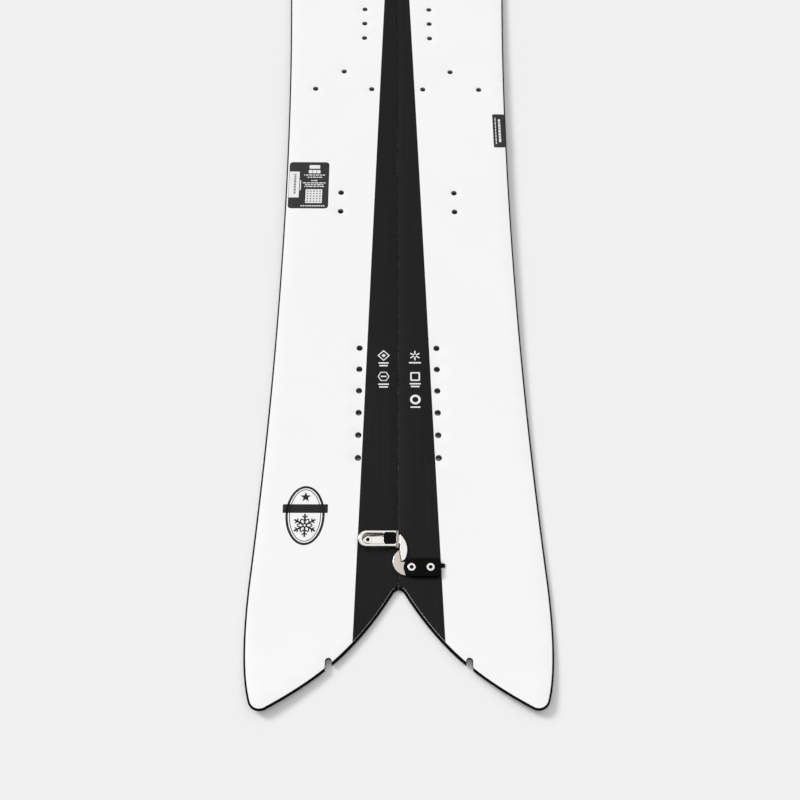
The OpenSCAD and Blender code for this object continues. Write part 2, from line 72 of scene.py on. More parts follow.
def bolt_pair(name, axis):
    """The two holes of a bolt pattern, spaced along X (0) or Y (1)."""
    spacing = MOUNTS[name]["dims"][f"spacing_{'xy'[axis]}_mm"]
    step = spacing / 2 * np.eye(2)[axis]
    return [mount_place(name) - step, mount_place(name) + step]


# -------- driving dimensions

HALF_LEN = -node_box("left_outer_edge")[0][1]
SEAM = node_box("right_inner_edge")[0][0]
WAIST_HALF = 130.4
WAIST_Y = -190.0
SIDECUT_R = 6900.0
VEE_APEX_Y = -646.0
VEE_APEX_R = 6.0
TIP_R = 11.5
TIP_CENTRE = (127.4, TIP_R - HALF_LEN)
SHOULDER_Y = -635.0
NOSE_START_Y = 460.0
VEE_TURN = 32
TIP_IN_A, TIP_OUT_A = 241, 342
VEE_PULL, TIP_IN_PULL, TIP_OUT_PULL, SHOULDER_PULL = 62.7, 59.4, 30, 41.6
NOSE_PULL, NOSE_ROUND_X = 150, 95
NOTCH_X = 65.8
NOTCH_R = 3.2
NOTCH_LINER_T = 0.25
NOTCH_CENTRE = np.array([NOTCH_X, -711.7 - NOTCH_R])

REAR_LAND = (-650.0, -560.0)
FRONT_LAND = (380.0, 470.0)
SPACER_Y = FRONT_LAND[1]
CORE_FULL = (-250.0, 100.0)
CAMBER_H = 4.0
NOSE_RISE = 58.0
TAIL_RISE = 6.0
CORE_MID_T = 4.6
CORE_LAND_T = 2.4
CORE_TIP_T = 1.3

BASE_T = 1.4
EDGE_W = 2.2
EDGE_H = 1.9
SKIN_INSET = 2.0
SIDEWALL_W = 8.0
CORE_FLOOR = 2.4
SKIN_T = 0.6
DECK_FLOOR = CORE_FLOOR + 2 * SKIN_T
DECK_Z = DECK_FLOOR + CORE_LAND_T
BEVEL_SHARE = 0.45

STRIPE_HALF_AT_ORIGIN = 20.67
STRIPE_SLOPE = 0.0331


# cuts across the outline: (axis, value, rising)
SEAM_START, SEAM_END = (0, SEAM, True), (0, SEAM, False)
NOTCH_INNER, NOTCH_OUTER = (0, NOTCH_X - NOTCH_R, True), (0, NOTCH_X + NOTCH_R, True)
SPACER_START = (1, SPACER_Y, True)


# -------- curves

def heading(degrees):
    a = math.radians(degrees)
    return np.array([math.cos(a), math.sin(a)])


def bezier_run(p0, p1, p2, p3, n):
    t = (np.arange(n) + 1)[:, None] / n
    return (1 - t) ** 3 * p0 + 3 * (1 - t) ** 2 * t * p1 + 3 * (1 - t) * t * t * p2 + t ** 3 * p3


def arc_run(centre, r, a0, a1, n):
    return [np.array(centre) + r * heading(a0 + (a1 - a0) * (i + 1) / n) for i in range(n)]


def circle(centre, r, n=40):
    return np.array(arc_run(centre, r, 0, 360, n))


def side_point(y):
    return np.array([WAIST_HALF + (y - WAIST_Y) ** 2 / (2 * SIDECUT_R), y])


def side_heading(y):
    return heading(90 - math.degrees(math.atan((y - WAIST_Y) / SIDECUT_R)))


def ski_outline():
    """The right ski's outline from the swallowtail's apex, round the tail tip, to the nose."""
    apex_centre = np.array([0, VEE_APEX_Y - VEE_APEX_R])
    vee_start = apex_centre + VEE_APEX_R * heading(VEE_TURN)
    tip = np.array(TIP_CENTRE)
    tip_in = tip + TIP_R * heading(TIP_IN_A)
    tip_out = tip + TIP_R * heading(TIP_OUT_A)
    shoulder = side_point(SHOULDER_Y)
    nose_start = side_point(NOSE_START_Y)
    runs = [
        [np.array([0, VEE_APEX_Y])],
        arc_run(apex_centre, VEE_APEX_R, 90, VEE_TURN, 12),
        bezier_run(vee_start, vee_start + VEE_PULL * heading(VEE_TURN - 90),
                   tip_in - TIP_IN_PULL * heading(TIP_IN_A + 90), tip_in, 60),
        arc_run(tip, TIP_R, TIP_IN_A, TIP_OUT_A, 30),
        bezier_run(tip_out, tip_out + TIP_OUT_PULL * heading(TIP_OUT_A + 90),
                   shoulder - SHOULDER_PULL * side_heading(SHOULDER_Y), shoulder, 24),
        [side_point(y) for y in np.linspace(SHOULDER_Y, NOSE_START_Y, 151)[1:]],
        bezier_run(nose_start, nose_start + NOSE_PULL * side_heading(NOSE_START_Y),
                   np.array([NOSE_ROUND_X, HALF_LEN]), np.array([0, HALF_LEN]), 90),
    ]
    return np.array([p for run in runs for p in run])


OUTLINE = ski_outline()


def outline_normals():
    along = np.zeros_like(OUTLINE)
    along[1:-1] = OUTLINE[2:] - OUTLINE[:-2]
    along[0] = (1, 0)
    along[-1] = (-1, 0)
    along /= np.linalg.norm(along, axis=1)[:, None]
    return np.stack([-along[:, 1], along[:, 0]], axis=1)


NORMALS = outline_normals()


def crossing(points, axis, value, rising):
    """The first place, as a fractional index, where the path passes a value of x or y."""
    gap = points[:, axis] - value
    for i in range(len(gap) - 1):
        if (gap[i] < 0 <= gap[i + 1]) if rising else (gap[i] > 0 >= gap[i + 1]):
            return i + gap[i] / (gap[i] - gap[i + 1])
    raise ValueError(f"the outline doesn't pass {value}")


def at_index(points, u):
    i = min(int(u), len(points) - 2)
    return points[i] + (points[i + 1] - points[i]) * (u - i)


def stretch(points, begin, end):
    """The path between two fractional indices."""
    inner = points[math.ceil(begin + 0.001):math.floor(end - 0.001) + 1]
    return [at_index(points, begin)] + list(inner) + [at_index(points, end)]


def rim_paths(insets, begin_cut, end_cut):
    """Paths along the outline at several insets, with as many points each, between two cuts."""
    cut = []
    for d in insets:
        points = OUTLINE + d * NORMALS
        cut.append((points, crossing(points, *begin_cut), crossing(points, *end_cut)))
    first = math.ceil(max(begin for _, begin, _ in cut) + 0.3)
    final = math.floor(min(end for _, _, end in cut) - 0.3)
    return [
        np.array([at_index(p, begin)] + list(p[first:final + 1]) + [at_index(p, end)])
        for p, begin, end in cut
    ]


def seam_run(x, y_from, y_to, step=8.0):
    n = max(2, int(abs(y_to - y_from) / step))
    return [np.array([x, y]) for y in np.linspace(y_from, y_to, n + 1)[1:-1]]


def ski_loop(inset, seam_inset):
    """The right ski's plan as one loop, with its skin notch."""
    points = OUTLINE + inset * NORMALS
    x = SEAM + seam_inset
    begin, end = crossing(points, 0, x, True), crossing(points, 0, x, False)
    return np.array(
        stretch(points, begin, crossing(points, *NOTCH_INNER))
        + [NOTCH_CENTRE - (NOTCH_R, 0)] + arc_run(NOTCH_CENTRE, NOTCH_R, 180, 0, 14)
        + stretch(points, crossing(points, *NOTCH_OUTER), end)
        + seam_run(x, at_index(points, end)[1], at_index(points, begin)[1])
    )


# -------- heights along the board

def smooth(s):
    return s * s * (3 - 2 * s)


def past_lands(y):
    """How far a place is from the rear land to the tail, and from the front land to the nose, as
    shares of those distances."""
    tail = np.clip(REAR_LAND[0] - y, 0, None) / (HALF_LEN + REAR_LAND[0])
    return tail, np.clip(y - FRONT_LAND[1], 0, None) / (HALF_LEN - FRONT_LAND[1])


def base_z(y):
    y = np.asarray(y, float)
    tail, nose = past_lands(y)
    phase = np.clip((y - REAR_LAND[1]) / (FRONT_LAND[0] - REAR_LAND[1]), 0, 1)
    camber = CAMBER_H / 2 * (1 - np.cos(2 * math.pi * phase))
    return TAIL_RISE * tail ** 2 + camber + NOSE_RISE * nose ** 2.1


def core_t(y):
    y = np.asarray(y, float)
    tail, nose = past_lands(y)
    rear = smooth(np.clip((y - REAR_LAND[1]) / (CORE_FULL[0] - REAR_LAND[1]), 0, 1))
    front = 1 - smooth(np.clip((y - CORE_FULL[1]) / (FRONT_LAND[0] - CORE_FULL[1]), 0, 1))
    middle = CORE_LAND_T + (CORE_MID_T - CORE_LAND_T) * np.minimum(rear, front)
    return middle - (CORE_LAND_T - CORE_TIP_T) * (tail + nose)


def level(lift, core_share=0.0):
    """A height function: `lift` over the base, with a share of the core's thickness added."""
    return lambda x, y: base_z(y) + core_share * core_t(y) + lift


def flat(z):
    return lambda x, y: np.full(np.shape(x), float(z))


# -------- mesh building

def add_object(name, data):
    made = bpy.data.objects.new(name, data)
    bpy.context.scene.collection.objects.link(made)
    return made


class Builder:
    """Collects the solids of one piece and makes one mesh object of them."""

    def __init__(self, origin=(0, 0, 0)):
        self.points, self.faces, self.count = [], [], 0
        self.origin = np.array(origin, float)

    def add_points(self, points):
        start = self.count
        self.points.append(np.asarray(points, float) + self.origin)
        self.count += len(points)
        return start

    def mirror(self):
        """Turns what was built for the right ski into the left ski's."""
        self.points = [p * np.array([-1, 1, 1]) for p in self.points]
        self.faces = [tuple(reversed(f)) for f in self.faces]

    def make(self, name, body, slot_name, material, replaced=(), sharp=35):
        mesh = bpy.data.meshes.new(name)
        mesh.from_pydata((np.vstack(self.points) * MM).tolist(), [], self.faces)
        mesh.validate()
        mesh.shade_smooth()
        mesh.set_sharp_from_angle(angle=math.radians(sharp))
        mesh.materials.append(material)
        piece = add_object(name, mesh)
        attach(piece, body)
        if replaced:
            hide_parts(*replaced)


def turned_left(loop):
    """The loop, counterclockwise."""
    x, y = loop[:, 0], loop[:, 1]
    area = np.sum(x * np.roll(y, -1) - np.roll(x, -1) * y)
    return loop if area > 0 else loop[::-1]


def shrunk(loop, d):
    """A counterclockwise loop moved inwards by d, with mitred corners."""
    if d == 0:
        return loop
    ahead = np.roll(loop, -1, axis=0) - loop
    ahead /= np.maximum(np.linalg.norm(ahead, axis=1), 1e-9)[:, None]
    normal = np.stack([-ahead[:, 1], ahead[:, 0]], axis=1)
    before = np.roll(normal, 1, axis=0)
    middle = normal + before
    scale = np.maximum(np.sum(middle * middle, axis=1), 0.5)
    return loop + d * 2 * middle / scale[:, None]


def inside_loops(points, loops):
    """Even-odd test of many points against closed loops."""
    hit = np.zeros(len(points), bool)
    px, py = points[:, 0:1], points[:, 1:2]
    for loop in loops:
        x0, y0 = loop[:, 0], loop[:, 1]
        x1, y1 = np.roll(x0, -1), np.roll(y0, -1)
        spans = (y0 > py) != (y1 > py)
        slope = (x1 - x0) / np.where(y1 == y0, 1e-12, y1 - y0)
        hit ^= (np.sum(spans & (px < x0 + (py - y0) * slope), axis=1) % 2).astype(bool)
    return hit


def grid_inside(loops, step, clear):
    """Points of a staggered grid inside the loops, at least `clear` from them."""
    low, high = loops[0].min(axis=0), loops[0].max(axis=0)
    rows = np.arange(low[1] + step / 2, high[1], step * 0.87)
    points = np.array([
        (x, y) for j, y in enumerate(rows)
        for x in np.arange(low[0] + step * (0.25 + 0.5 * (j % 2)), high[0], step)
    ])
    points = points[inside_loops(points, loops)]
    rim = np.vstack(loops)
    keep = [
        np.min((rim[:, 0] - x) ** 2 + (rim[:, 1] - y) ** 2) > clear * clear for x, y in points
    ]
    return points[np.array(keep, bool)]


def cap_triangles(loops, extra):
    """Triangles, as indices into all the loops' points and then the extra ones."""
    points = np.vstack(loops + [extra])
    edges, start = [], 0
    for loop in loops:
        n = len(loop)
        edges += [(start + i, start + (i + 1) % n) for i in range(n)]
        start += n
    out = delaunay_2d_cdt([Vector(p) for p in points], edges, [], 0, 1e-6)
    source = [ids[0] if ids else None for ids in out[3]]
    centres = np.array([np.mean([out[0][i] for i in f], axis=0) for f in out[2]])
    inner = inside_loops(centres, loops)
    named = [[source[i] for i in face] for face, keep in zip(out[2], inner) if keep]
    return [face for face in named if None not in face]


def rounded_rings(low, high, rim, foot, steps):
    """(inset, height function, lift) from a plate's lower rim to its upper rim."""
    rings = []
    turns = [math.pi / 2 * i / steps for i in range(steps + 1)]
    if foot:
        rings += [(foot * (1 - math.sin(a)), low, foot * (1 - math.cos(a))) for a in turns[:-1]]
    rings.append((0.0, low, foot))
    if rim:
        rings += [(rim * (1 - math.cos(a)), high, -rim * (1 - math.sin(a))) for a in turns]
    else:
        rings.append((0.0, high, 0.0))
    return rings


def add_solid(b, outer, holes, low, high, rim=0.2, foot=0.0, steps=3, grid=None, place=None):
    """A plate between two height functions, with its upper and lower rims rounded.

    `place` turns rows of (x, y, z) into their final position."""
    loops = [turned_left(np.asarray(loop, float)) for loop in [outer, *holes]]
    rings = rounded_rings(low, high, rim, foot, steps)

    def ring_loops(inset):
        return [shrunk(loops[0], inset)] + [shrunk(hole, -inset) for hole in loops[1:]]

    def put(xy, height, lift):
        points = np.column_stack([xy, height(xy[:, 0], xy[:, 1]) + lift])
        return b.add_points(points if place is None else place(points))

    starts = [put(np.vstack(ring_loops(inset)), height, lift) for inset, height, lift in rings]
    for lower, upper in zip(starts, starts[1:]):
        offset = 0
        for k, loop in enumerate(loops):
            n = len(loop)
            for i in range(n):
                here, ahead = offset + i, offset + (i + 1) % n
                quad = (lower + here, lower + ahead, upper + ahead, upper + here)
                b.faces.append(quad if k == 0 else quad[::-1])
            offset += n
    total = sum(len(loop) for loop in loops)
    for end, up in ((0, False), (-1, True)):
        start, (inset, height, lift) = starts[end], rings[end]
        rim_loops = ring_loops(inset)
        extra = grid_inside(rim_loops, grid, grid * 0.45) if grid else np.zeros((0, 2))
        extra_start = put(extra, height, lift) if len(extra) else 0
        for triangle in cap_triangles(rim_loops, extra):
            named = [start + i if i < total else extra_start + i - total for i in triangle]
            b.faces.append(tuple(named if up else named[::-1]))


def add_sweep(b, paths, heights):
    """A closed bar of the right ski. Its corners follow the plan paths at their height functions,
    listed up the outside, inwards over the top and down the inside."""
    n = len(paths[0])
    starts = [
        b.add_points(np.column_stack([path, height(path[:, 0], path[:, 1])]))
        for path, height in zip(paths, heights)
    ]
    for lower, upper in zip(starts, starts[1:] + starts[:1]):
        for i in range(n - 1):
            b.faces.append((lower + i, lower + i + 1, upper + i + 1, upper + i))
    b.faces.append(tuple(starts))
    b.faces.append(tuple(start + n - 1 for start in reversed(starts)))


def rounded_loop(corners, arc_steps=6):
    """A loop from (x, y, radius) corners, each with an arc of its radius."""
    out = []
    count = len(corners)
    for i, (x, y, r) in enumerate(corners):
        p = np.array([x, y], float)
        if r <= 0:
            out.append(p)
            continue
        before = np.array(corners[i - 1][:2], float) - p
        after = np.array(corners[(i + 1) % count][:2], float) - p
        before /= np.linalg.norm(before)
        after /= np.linalg.norm(after)
        half = math.acos(max(-1, min(1, float(before @ after)))) / 2
        reach = r / math.tan(half)
        bisector = (before + after) / np.linalg.norm(before + after)
        centre = p + bisector * r / math.sin(half)
        a0 = math.atan2(*(p + before * reach - centre)[::-1])
        a1 = math.atan2(*(p + after * reach - centre)[::-1])
        turn = (a1 - a0 + math.pi) % (2 * math.pi) - math.pi
        for k in range(arc_steps + 1):
            a = a0 + turn * k / arc_steps
            out.append(centre + r * np.array([math.cos(a), math.sin(a)]))
    return np.array(out)


def rect_loop(x0, y0, x1, y1, r, arc_steps=6):
    return rounded_loop([(x0, y0, r), (x1, y0, r), (x1, y1, r), (x0, y1, r)], arc_steps)


def clipped(subject, convex):
    """The part of a loop inside a counterclockwise convex loop."""
    out = [np.array(p, float) for p in subject]
    for a, b in zip(convex, np.roll(convex, -1, axis=0)):
        edge = b - a
        side = [edge[0] * (p[1] - a[1]) - edge[1] * (p[0] - a[0]) for p in out]
        kept = []
        for i, p in enumerate(out):
            before, s0, s1 = out[i - 1], side[i - 1], side[i]
            if (s0 >= 0) != (s1 >= 0):
                kept.append(before + (p - before) * s0 / (s0 - s1))
            if s1 >= 0:
                kept.append(p)
        out = kept
    tidy = [p for i, p in enumerate(out) if np.linalg.norm(p - out[i - 1]) > 0.01]
    return np.array(tidy)


def upright(points):
    """Turns a plate drawn in X and Z so that it stands across the board, its thickness along -Y."""
    return np.column_stack([points[:, 0], -points[:, 2], points[:, 1]])


# -------- materials

class Graph:
    """A node tree, with the kinds of node that the materials and the world are made of."""

    def __init__(self, tree):
        self.nodes, self.links = tree.nodes, tree.links

    def feed(self, socket, value):
        """Links another node's output to a socket, or sets the socket to a number or a colour."""
        if isinstance(value, bpy.types.NodeSocket):
            self.links.new(value, socket)
        else:
            socket.default_value = (*value, 1) if isinstance(value, tuple) else value

    def node(self, kind, inputs=None):
        made = self.nodes.new("ShaderNode" + kind)
        for key, value in (inputs or {}).items():
            self.feed(made.inputs[key], value)
        return made

    def place(self, scale=(1, 1, 1)):
        """Object coordinates in metres, stretched by a scale on each axis."""
        mapping = self.node("Mapping", {"Vector": self.node("TexCoord").outputs["Object"]})
        mapping.inputs["Scale"].default_value = scale
        return mapping.outputs["Vector"]

    def noise(self, vector, scale, detail=3.0, roughness=0.55):
        settings = {"Vector": vector, "Scale": scale, "Detail": detail, "Roughness": roughness}
        return self.node("TexNoise", settings).outputs["Fac"]

    def spread(self, value, low, high, start=0.3, end=0.7):
        """A value, taken from start..end to low..high."""
        limits = {"Value": value, "From Min": start, "From Max": end, "To Min": low, "To Max": high}
        return self.node("MapRange", limits).outputs["Result"]

    def mix(self, factor, first, second):
        """A colour between two; each is a colour or an output."""
        made = self.nodes.new("ShaderNodeMix")
        made.data_type = "RGBA"
        for index, value in ((0, factor), (6, first), (7, second)):
            self.feed(made.inputs[index], value)
        return made.outputs[2]

    def calc(self, operation, first, second=0.0):
        made = self.node("Math", {0: first, 1: second})
        made.operation = operation
        return made.outputs[0]

    def bump(self, height, distance, strength=0.5):
        settings = {"Height": height, "Distance": distance, "Strength": strength}
        return self.node("Bump", settings).outputs["Normal"]


class Surface(Graph):
    """A material."""

    def __init__(self, name, color, roughness, metallic=0.0, specular=0.5):
        self.material = bpy.data.materials.new(name)
        self.material.use_nodes = True
        super().__init__(self.material.node_tree)
        self.inputs = self.nodes["Principled BSDF"].inputs
        self.inputs["Base Color"].default_value = (*color, 1)
        self.inputs["Roughness"].default_value = roughness
        self.inputs["Metallic"].default_value = metallic
        self.inputs["Specular IOR Level"].default_value = specular

    def finish(self, color, roughness, normal):
        for key, value in (("Base Color", color), ("Roughness", roughness), ("Normal", normal)):
            self.feed(self.inputs[key], value)
        return self.material


# Faces whose normal Z is below this keep the white film colour inside the stripe: a painted highlight
# along the swallowtail's edge.
PAINTED_HIGHLIGHT_NORMAL_Z = 0.9
SEAM_PRINT_REACH = 0.004


def topsheet_material():
    """Satin white film with a black stripe that narrows towards the nose. The stripe is printed on the
    flat of the film, so its steep cut edge along the swallowtail stays white: partly the film's own
    white, partly a painted highlight along that edge."""
    s = Surface("topsheet", (0.9, 0.9, 0.9), 0.42, specular=0.12)
    place = s.place()
    parts = s.node("SeparateXYZ", {"Vector": place})
    half = s.calc("MULTIPLY", parts.outputs["Y"], -STRIPE_SLOPE)
    half = s.calc("ADD", half, STRIPE_HALF_AT_ORIGIN * MM)
    across = s.calc("ABSOLUTE", parts.outputs["X"])
    facing = s.node("SeparateXYZ", {"Vector": s.node("NewGeometry").outputs["Normal"]})
    # Steep faces stay white: the film's own white, and a painted highlight along the edge.
    on_flat = s.calc("GREATER_THAN", facing.outputs["Z"], PAINTED_HIGHLIGHT_NORMAL_Z)
    near_seam = s.calc("LESS_THAN", across, SEAM_PRINT_REACH)
    printed = s.calc("MAXIMUM", on_flat, near_seam)
    black = s.calc("MULTIPLY", s.calc("LESS_THAN", across, half), printed)
    white = s.mix(s.noise(place, 9.0), (0.9, 0.9, 0.905), (0.93, 0.93, 0.93))
    streak = s.noise(s.place((260, 5, 1)), 1.0, 4.0)
    dark = s.mix(streak, (0.005, 0.005, 0.0055), (0.012, 0.012, 0.0125))
    satin = s.spread(s.noise(place, 60.0), 0.36, 0.46)
    grain = s.bump(s.noise(place, 2600.0, 2.0), 0.00002, 0.35)
    return s.finish(s.mix(black, white, dark), satin, grain)


def plastic_material(name, color, roughness, grain=1800.0, depth=0.00004, specular=0.2):
    """Moulded plastic with a fine grain and slightly uneven gloss."""
    s = Surface(name, color, roughness, specular=specular)
    place = s.place()
    lighter = tuple(min(1.0, c * 1.3 + 0.002) for c in color)
    tone = s.mix(s.noise(place, 35.0), color, lighter)
    gloss = s.spread(s.noise(place, 140.0), roughness - 0.06, roughness + 0.08)
    return s.finish(tone, gloss, s.bump(s.noise(place, grain, 2.0), depth))


def ink_material(name, value, roughness=0.5, specular=0.2):
    return plastic_material(name, (value, value, value), roughness, 900.0, 0.00001, specular)


def steel_material(name, color, roughness, stretch_by=(1, 1, 1), grain=300.0):
    """Steel with fine scratches along the axis that is stretched least."""
    s = Surface(name, color, roughness, 1.0)
    scratches = s.noise(s.place(stretch_by), grain, 5.0, 0.65)
    darker = tuple(c * 0.82 for c in color)
    tone = s.mix(s.noise(s.place(), 70.0), darker, color)
    gloss = s.spread(scratches, max(0.04, roughness * 0.75), roughness * 1.35)
    return s.finish(tone, gloss, s.bump(scratches, 0.00001, 0.4))


def base_material():
    """Black sintered base with the fine lengthwise structure of a stone grind."""
    s = Surface("running_base", (0.02, 0.02, 0.022), 0.34)
    grind = s.noise(s.place((1400, 30, 1)), 1.0, 4.0, 0.6)
    tone = s.mix(s.noise(s.place(), 14.0), (0.014, 0.014, 0.016), (0.03, 0.03, 0.033))
    return s.finish(tone, s.spread(grind, 0.28, 0.42), s.bump(grind, 0.00003, 0.4))


def glass_fibre_material():
    """Cured laminate with its fibres lying along and across the board."""
    s = Surface("laminate", (0.62, 0.6, 0.42), 0.45)
    along = s.noise(s.place((900, 40, 900)), 1.0)
    across = s.noise(s.place((40, 900, 900)), 1.0)
    weave = s.calc("MULTIPLY", along, across)
    tone = s.mix(s.spread(weave, 0, 1, 0.15, 0.4), (0.5, 0.47, 0.3), (0.72, 0.7, 0.52))
    return s.finish(tone, s.spread(along, 0.38, 0.55), s.bump(weave, 0.00004))


def wood_material():
    """Planed wood with its grain along the board."""
    s = Surface("core_wood", (0.62, 0.45, 0.26), 0.6)
    grain = s.noise(s.place((420, 9, 420)), 1.0, 6.0, 0.6)
    strips = s.noise(s.place((45, 0.4, 1)), 1.0, 0.0)
    light = s.mix(strips, (0.55, 0.38, 0.2), (0.74, 0.57, 0.36))
    tone = s.mix(s.spread(grain, 0, 1), light, (0.42, 0.27, 0.13))
    return s.finish(tone, s.spread(grain, 0.5, 0.7), s.bump(grain, 0.00008))


MATERIALS = {
    "topsheet_plastic": topsheet_material(),
    "black_base": base_material(),
    "sidewall_plastic": plastic_material("sidewall", (0.0012, 0.0012, 0.0012), 0.42, specular=0.05),
    "edge_steel": steel_material("edge_steel", (0.6, 0.6, 0.61), 0.28, (6, 0.2, 6)),
    "glass_fibre": glass_fibre_material(),
    "core_wood": wood_material(),
    "insert_steel": steel_material("insert_steel", (0.16, 0.16, 0.163), 0.3),
    "bright_steel": steel_material("bright_steel", (0.96, 0.93, 0.9), 0.1, (1, 3, 3), 260.0),
    "grey_steel": steel_material("grey_steel", (0.66, 0.61, 0.57), 0.24, grain=900.0),
    "black_plastic": plastic_material("clip_plastic", (0.0012, 0.0012, 0.0012), 0.36, specular=0.05),
    "label_print": plastic_material("label_black", (0.024, 0.024, 0.024), 0.5, 900.0, 0.00002),
}
WHITE_INK = ink_material("white_ink", 0.72)
BLACK_INK = ink_material("black_ink", 0.01, 0.45)
GREY_INK = ink_material("grey_ink", 0.2)
# Near-black ink for the sheets inside the screw sockets: painted shade.
SOCKET_PAINTED_SHADE = ink_material("socket_painted_shade", 0.004, specular=0.1)


# -------- layers of a ski

LATCH_SCREW_XS = [30.2, 11.6]
STRIKE_SCREW_XS = [12.4, 30.8]
STRIKE_DY = -28.4
LATCH_SCREWS = [(-x, 0) for x in LATCH_SCREW_XS]
STRIKE_SCREWS = [(x, STRIKE_DY) for x in STRIKE_SCREW_XS]
CLIP_YS = {end: JOINTS[f"{end}_lever_turn"]["pos_m"][1] / MM for end in ("tail", "nose")}
INSERT_GROUPS = {
    f"{row}_puck_inserts": [
        place for ring in ("inner", "middle", "outer")
        for place in bolt_pair(f"right_{row}_puck_{ring}", 1)
    ] for row in ("front", "rear")
}
INSERT_GROUPS["bracket_inserts"] = bolt_pair("right_bracket_pair", 0)
INSERT_GROUPS["bracket_inserts"].append(mount_place("right_bracket_front"))
INSERT_GROUPS["riser_inserts"] = bolt_pair("right_riser_pair", 1)
MOUTH_R = 3.3
SCREW_HOLE_R = 2.2
SIDEWALL_TOP_INSET = SKIN_INSET - 0.05


def clip_places(side):
    if side == LEFT:
        return [(x, y) for y in CLIP_YS.values() for x in LATCH_SCREW_XS]
    return [(x, y + dy) for y in CLIP_YS.values() for x, dy in STRIKE_SCREWS]


def ski_piece(side, node, slot_name, build, *details):
    """Makes a piece in its CAD node's place, mirrored for the left ski."""
    b = Builder()
    build(b, *details)
    if side == LEFT:
        b.mirror()
    b.make(f"{node}_look", f"{SIDES[side]}_half", slot_name, MATERIALS[slot_name], [node])


def add_rim(b, corners, begin_cut, end_cut):
    """A bar along the outline between two cuts, with a section of (inset, height function) corners."""
    add_sweep(b, rim_paths([d for d, _ in corners], begin_cut, end_cut), [z for _, z in corners])


def topsheet(b, side):
    places = [p for group in INSERT_GROUPS.values() for p in group]
    holes = [circle(p, MOUTH_R, 36) for p in places]
    holes += [circle(p, SCREW_HOLE_R, 24) for p in clip_places(side)]
    add_solid(b, ski_loop(SKIN_INSET, 0), holes, level(DECK_FLOOR - SKIN_T, 1), level(DECK_FLOOR, 1),
              rim=0.35, grid=14.0)


def base_sheet(b):
    add_solid(b, ski_loop(EDGE_W, EDGE_W), [], level(0), level(BASE_T), rim=0, grid=16.0)


def outer_edge(b):
    section = [(0.3, 0), (0.1, 0.1), (0, 0.3), (0, EDGE_H), (SIDEWALL_W, EDGE_H),
               (SIDEWALL_W, BASE_T), (EDGE_W, BASE_T), (EDGE_W, 0)]
    add_rim(b, [(inset, level(z)) for inset, z in section], NOTCH_OUTER, SEAM_END)


def sidewall_corners():
    """(inset, height function) of a sidewall that leans in to the topsheet's rim."""
    return [
        (0, level(CORE_FLOOR)),
        (0, level(CORE_FLOOR, BEVEL_SHARE)),
        (0.25, level(CORE_FLOOR + 0.25, BEVEL_SHARE + 0.08)),
        (SIDEWALL_TOP_INSET - 0.15, level(DECK_FLOOR - 0.2, 1)),
        (SIDEWALL_TOP_INSET, level(DECK_FLOOR - 0.12, 1)),
        (SIDEWALL_TOP_INSET, level(CORE_FLOOR, 1)),
        (SIDEWALL_W, level(CORE_FLOOR, 1)),
        (SIDEWALL_W, level(CORE_FLOOR)),
    ]


def outer_sidewall(b):
    add_rim(b, sidewall_corners(), NOTCH_OUTER, SPACER_START)


def add_notch_liner(b):
    """A thin coat of sealer on the notch's cut walls."""
    centre, inner_r = NOTCH_CENTRE, NOTCH_R - NOTCH_LINER_T
    points = OUTLINE + SKIN_INSET * NORMALS
    foot_in = at_index(points, crossing(points, *NOTCH_INNER))
    foot_out = at_index(points, crossing(points, *NOTCH_OUTER))
    liner = np.array([NOTCH_LINER_T, 0])
    outside = [foot_in, centre - (NOTCH_R, 0)] + arc_run(centre, NOTCH_R, 180, 0, 16) + [foot_out]
    inside = [foot_out - liner, centre + (inner_r, 0)] + arc_run(centre, inner_r, 0, 180, 16)
    coat = outside + inside + [foot_in + liner]
    add_solid(b, np.array(coat), [], level(0), level(DECK_FLOOR - 0.1, 1), rim=0)


def vee_sidewall(b):
    foot = [(EDGE_W, level(CORE_FLOOR)), (EDGE_W, level(0))]
    add_rim(b, [(0, level(0))] + sidewall_corners()[1:] + foot, SEAM_START, NOTCH_INNER)
    add_notch_liner(b)


def nose_spacer(b):
    add_rim(b, sidewall_corners(), SPACER_START, SEAM_END)
    points = OUTLINE + SIDEWALL_W * NORMALS
    rim = stretch(points, crossing(points, *SPACER_START), crossing(points, *SEAM_END))
    plan = rim + seam_run(SEAM, rim[-1][1], SPACER_Y) + [np.array([SEAM, SPACER_Y])]
    add_solid(b, plan, [], level(CORE_FLOOR), level(CORE_FLOOR, 1), rim=0, grid=16.0)


THREAD_PITCH = 1.0
THREAD_DEPTH = 0.35


def insert_profile(foot, top):
    """(radius, z) up the outside of a threaded insert and down its bore."""
    bore_r, barrel_r, flange_r = 2.5, 4.0, 6.0
    floor = foot + 0.5
    flange_t, rim, mouth = 0.8, 0.15, 0.45
    profile = [(0, foot), (flange_r, foot), (flange_r, foot + flange_t), (barrel_r, foot + flange_t),
               (barrel_r, top - rim), (barrel_r - rim, top), (bore_r + mouth, top), (bore_r, top - mouth)]
    z = top - mouth
    while z - THREAD_PITCH > floor + 0.1:
        profile += [(bore_r + THREAD_DEPTH, z - THREAD_PITCH / 2), (bore_r, z - THREAD_PITCH)]
        z -= THREAD_PITCH
    return profile + [(bore_r, floor), (0, floor)]


def add_lathe(b, centre, profile, segments=32):
    """A closed profile of (radius, z) pairs turned about a vertical axis."""
    angles = np.arange(segments) * 2 * math.pi / segments
    ring = np.column_stack([np.cos(angles), np.sin(angles)])
    starts = []
    for r, z in profile:
        xy = ring * r + np.array(centre) if r else np.array([centre], float)
        starts.append((b.add_points(np.column_stack([xy, np.full(len(xy), z)])), r == 0))
    for (s0, end0), (s1, end1) in zip(starts, starts[1:]):
        for i in range(segments):
            j = (i + 1) % segments
            if end0:
                b.faces.append((s0, s1 + j, s1 + i))
            elif end1:
                b.faces.append((s0 + i, s0 + j, s1))
            else:
                b.faces.append((s0 + i, s0 + j, s1 + j, s1 + i))


